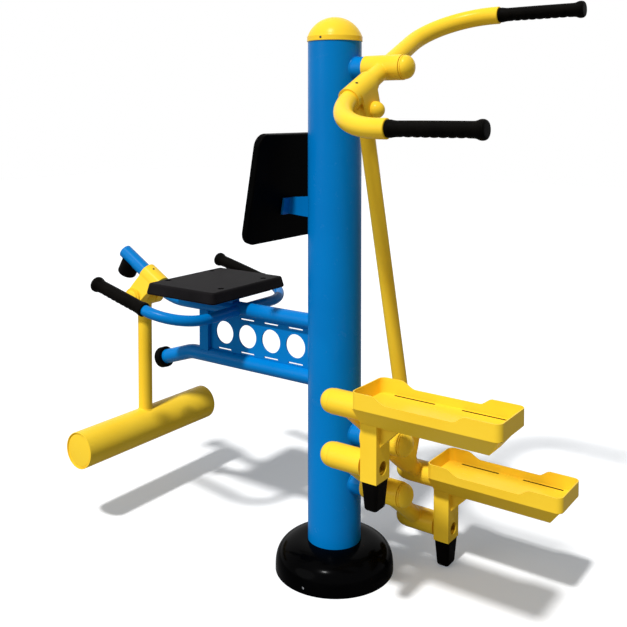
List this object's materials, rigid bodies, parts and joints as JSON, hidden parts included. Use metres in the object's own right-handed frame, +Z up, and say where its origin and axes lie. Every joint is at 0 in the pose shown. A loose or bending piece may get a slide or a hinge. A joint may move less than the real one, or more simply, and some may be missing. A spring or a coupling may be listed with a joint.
{
  "type": "outdoor fitness carousel",
  "caption": "Ground-anchored outdoor fitness post with a stepper and rocking handle on one side, a leg-extension seat on the other.",
  "frame": {"origin": "on the ground under the post's axis, at the centre of the base flange's underside", "axes": "+Z up along the post; +X towards the stepper pedals; -X towards the seat; -Y the near side"},
  "size_m": [1.3906, 0.6258, 1.4829],
  "materials": {
    "blue_paint": "semi-gloss powder coat",
    "yellow_paint": "semi-gloss powder coat",
    "base_gloss": "gloss moulded",
    "seat_board": "satin moulded",
    "pad_vinyl": "satin gloss moulded",
    "black_rubber": "matt",
    "bright_steel": "turned"
  },
  "bodies": {
    "root": {"base_flange": "blue_paint", "base_cover": "base_gloss", "post": "blue_paint", "post_cap": "yellow_paint", "handle_stub": "blue_paint", "upper_stub": "blue_paint", "lower_stub": "blue_paint", "handle_axle": "bright_steel", "upper_axle": "bright_steel", "lower_axle": "bright_steel", "handle_bearings": "bright_steel", "upper_bearings": "bright_steel", "lower_bearings": "bright_steel", "beam_upper_tube": "blue_paint", "beam_lower_tube": "blue_paint", "beam_web": "blue_paint", "beam_end_bar": "blue_paint", "near_seat_handle": "blue_paint", "far_seat_handle": "blue_paint", "near_seat_grip": "black_rubber", "far_seat_grip": "black_rubber", "seat_mount_plate": "blue_paint", "seat": "seat_board", "back_bracket": "blue_paint", "backrest": "pad_vinyl", "front_stop": "black_rubber", "back_stop": "black_rubber", "lever_bracket": "yellow_paint", "lever_axle": "yellow_paint", "lever_axle_cap": "yellow_paint"},
    "leg_lever": {"leg_lever_arm": "yellow_paint", "roller_tube": "yellow_paint", "roller_near_end": "yellow_paint", "roller_far_end": "yellow_paint"},
    "handle_rocker": {"handle_hub": "yellow_paint", "handle_hub_cap": "yellow_paint", "near_handle_arm": "yellow_paint", "far_handle_arm": "yellow_paint", "near_handle_grip": "black_rubber", "far_handle_grip": "black_rubber", "link_collar": "yellow_paint", "link_top_pin": "yellow_paint"},
    "link_rod": {"link_rod": "yellow_paint"},
    "upper_rocker": {"upper_rocker": "yellow_paint", "upper_hub_cap": "yellow_paint", "rod_clevis": "yellow_paint"},
    "lower_rocker": {"lower_rocker": "yellow_paint", "lower_hub_cap": "yellow_paint"},
    "near_pedal": {"near_pedal_bracket": "yellow_paint", "near_pedal_tray": "yellow_paint", "near_pedal_bumper": "black_rubber", "near_upper_pin": "yellow_paint", "near_lower_pin": "yellow_paint"},
    "far_pedal": {"far_pedal_bracket": "yellow_paint", "far_pedal_tray": "yellow_paint", "far_pedal_bumper": "black_rubber", "far_upper_pin": "yellow_paint", "far_lower_pin": "yellow_paint"}
  },
  "joints": [
    {"name": "upper_rocker_hinge", "type": "hinge", "parent": "root", "child": "upper_rocker", "pos_m": [0.1438, 0, 0.3745], "axis": [1, 0, 0], "range_deg": [0, 76.5]},
    {"name": "lower_rocker_hinge", "type": "hinge", "parent": "root", "child": "lower_rocker", "pos_m": [0.1438, 0, 0.2454], "axis": [1, 0, 0], "range_deg": [0, 76.5]},
    {"name": "near_pedal_hinge", "type": "hinge", "parent": "upper_rocker", "child": "near_pedal", "pos_m": [0.1656, -0.18204, 0.51801], "axis": [1, 0, 0], "range_deg": [-76.5, 0]},
    {"name": "far_pedal_hinge", "type": "hinge", "parent": "upper_rocker", "child": "far_pedal", "pos_m": [0.1656, 0.18204, 0.23099], "axis": [1, 0, 0], "range_deg": [-76.5, 0]},
    {"name": "handle_rocker_hinge", "type": "hinge", "parent": "root", "child": "handle_rocker", "pos_m": [0.1438, 0, 1.3146], "axis": [1, 0, 0], "range_deg": [-51.4, 0]},
    {"name": "link_rod_hinge", "type": "hinge", "parent": "handle_rocker", "child": "link_rod", "pos_m": [0.1512, -0.09814, 1.20927], "axis": [1, 0, 0], "range_deg": [0, 50.2]},
    {"name": "leg_lever_hinge", "type": "hinge", "parent": "root", "child": "leg_lever", "pos_m": [-0.71394, 0, 0.63547], "axis": [0, 1, 0], "range_deg": [-14, 110]}
  ],
  "couplings": [
    {"joint": "lower_rocker_hinge", "follows": "upper_rocker_hinge", "ratio": 1},
    {"joint": "near_pedal_hinge", "follows": "upper_rocker_hinge", "ratio": -1},
    {"joint": "far_pedal_hinge", "follows": "upper_rocker_hinge", "ratio": -1},
    {"joint": "handle_rocker_hinge", "follows": "upper_rocker_hinge", "ratio": -0.6715},
    {"joint": "link_rod_hinge", "follows": "upper_rocker_hinge", "ratio": 0.6551}
  ]
}
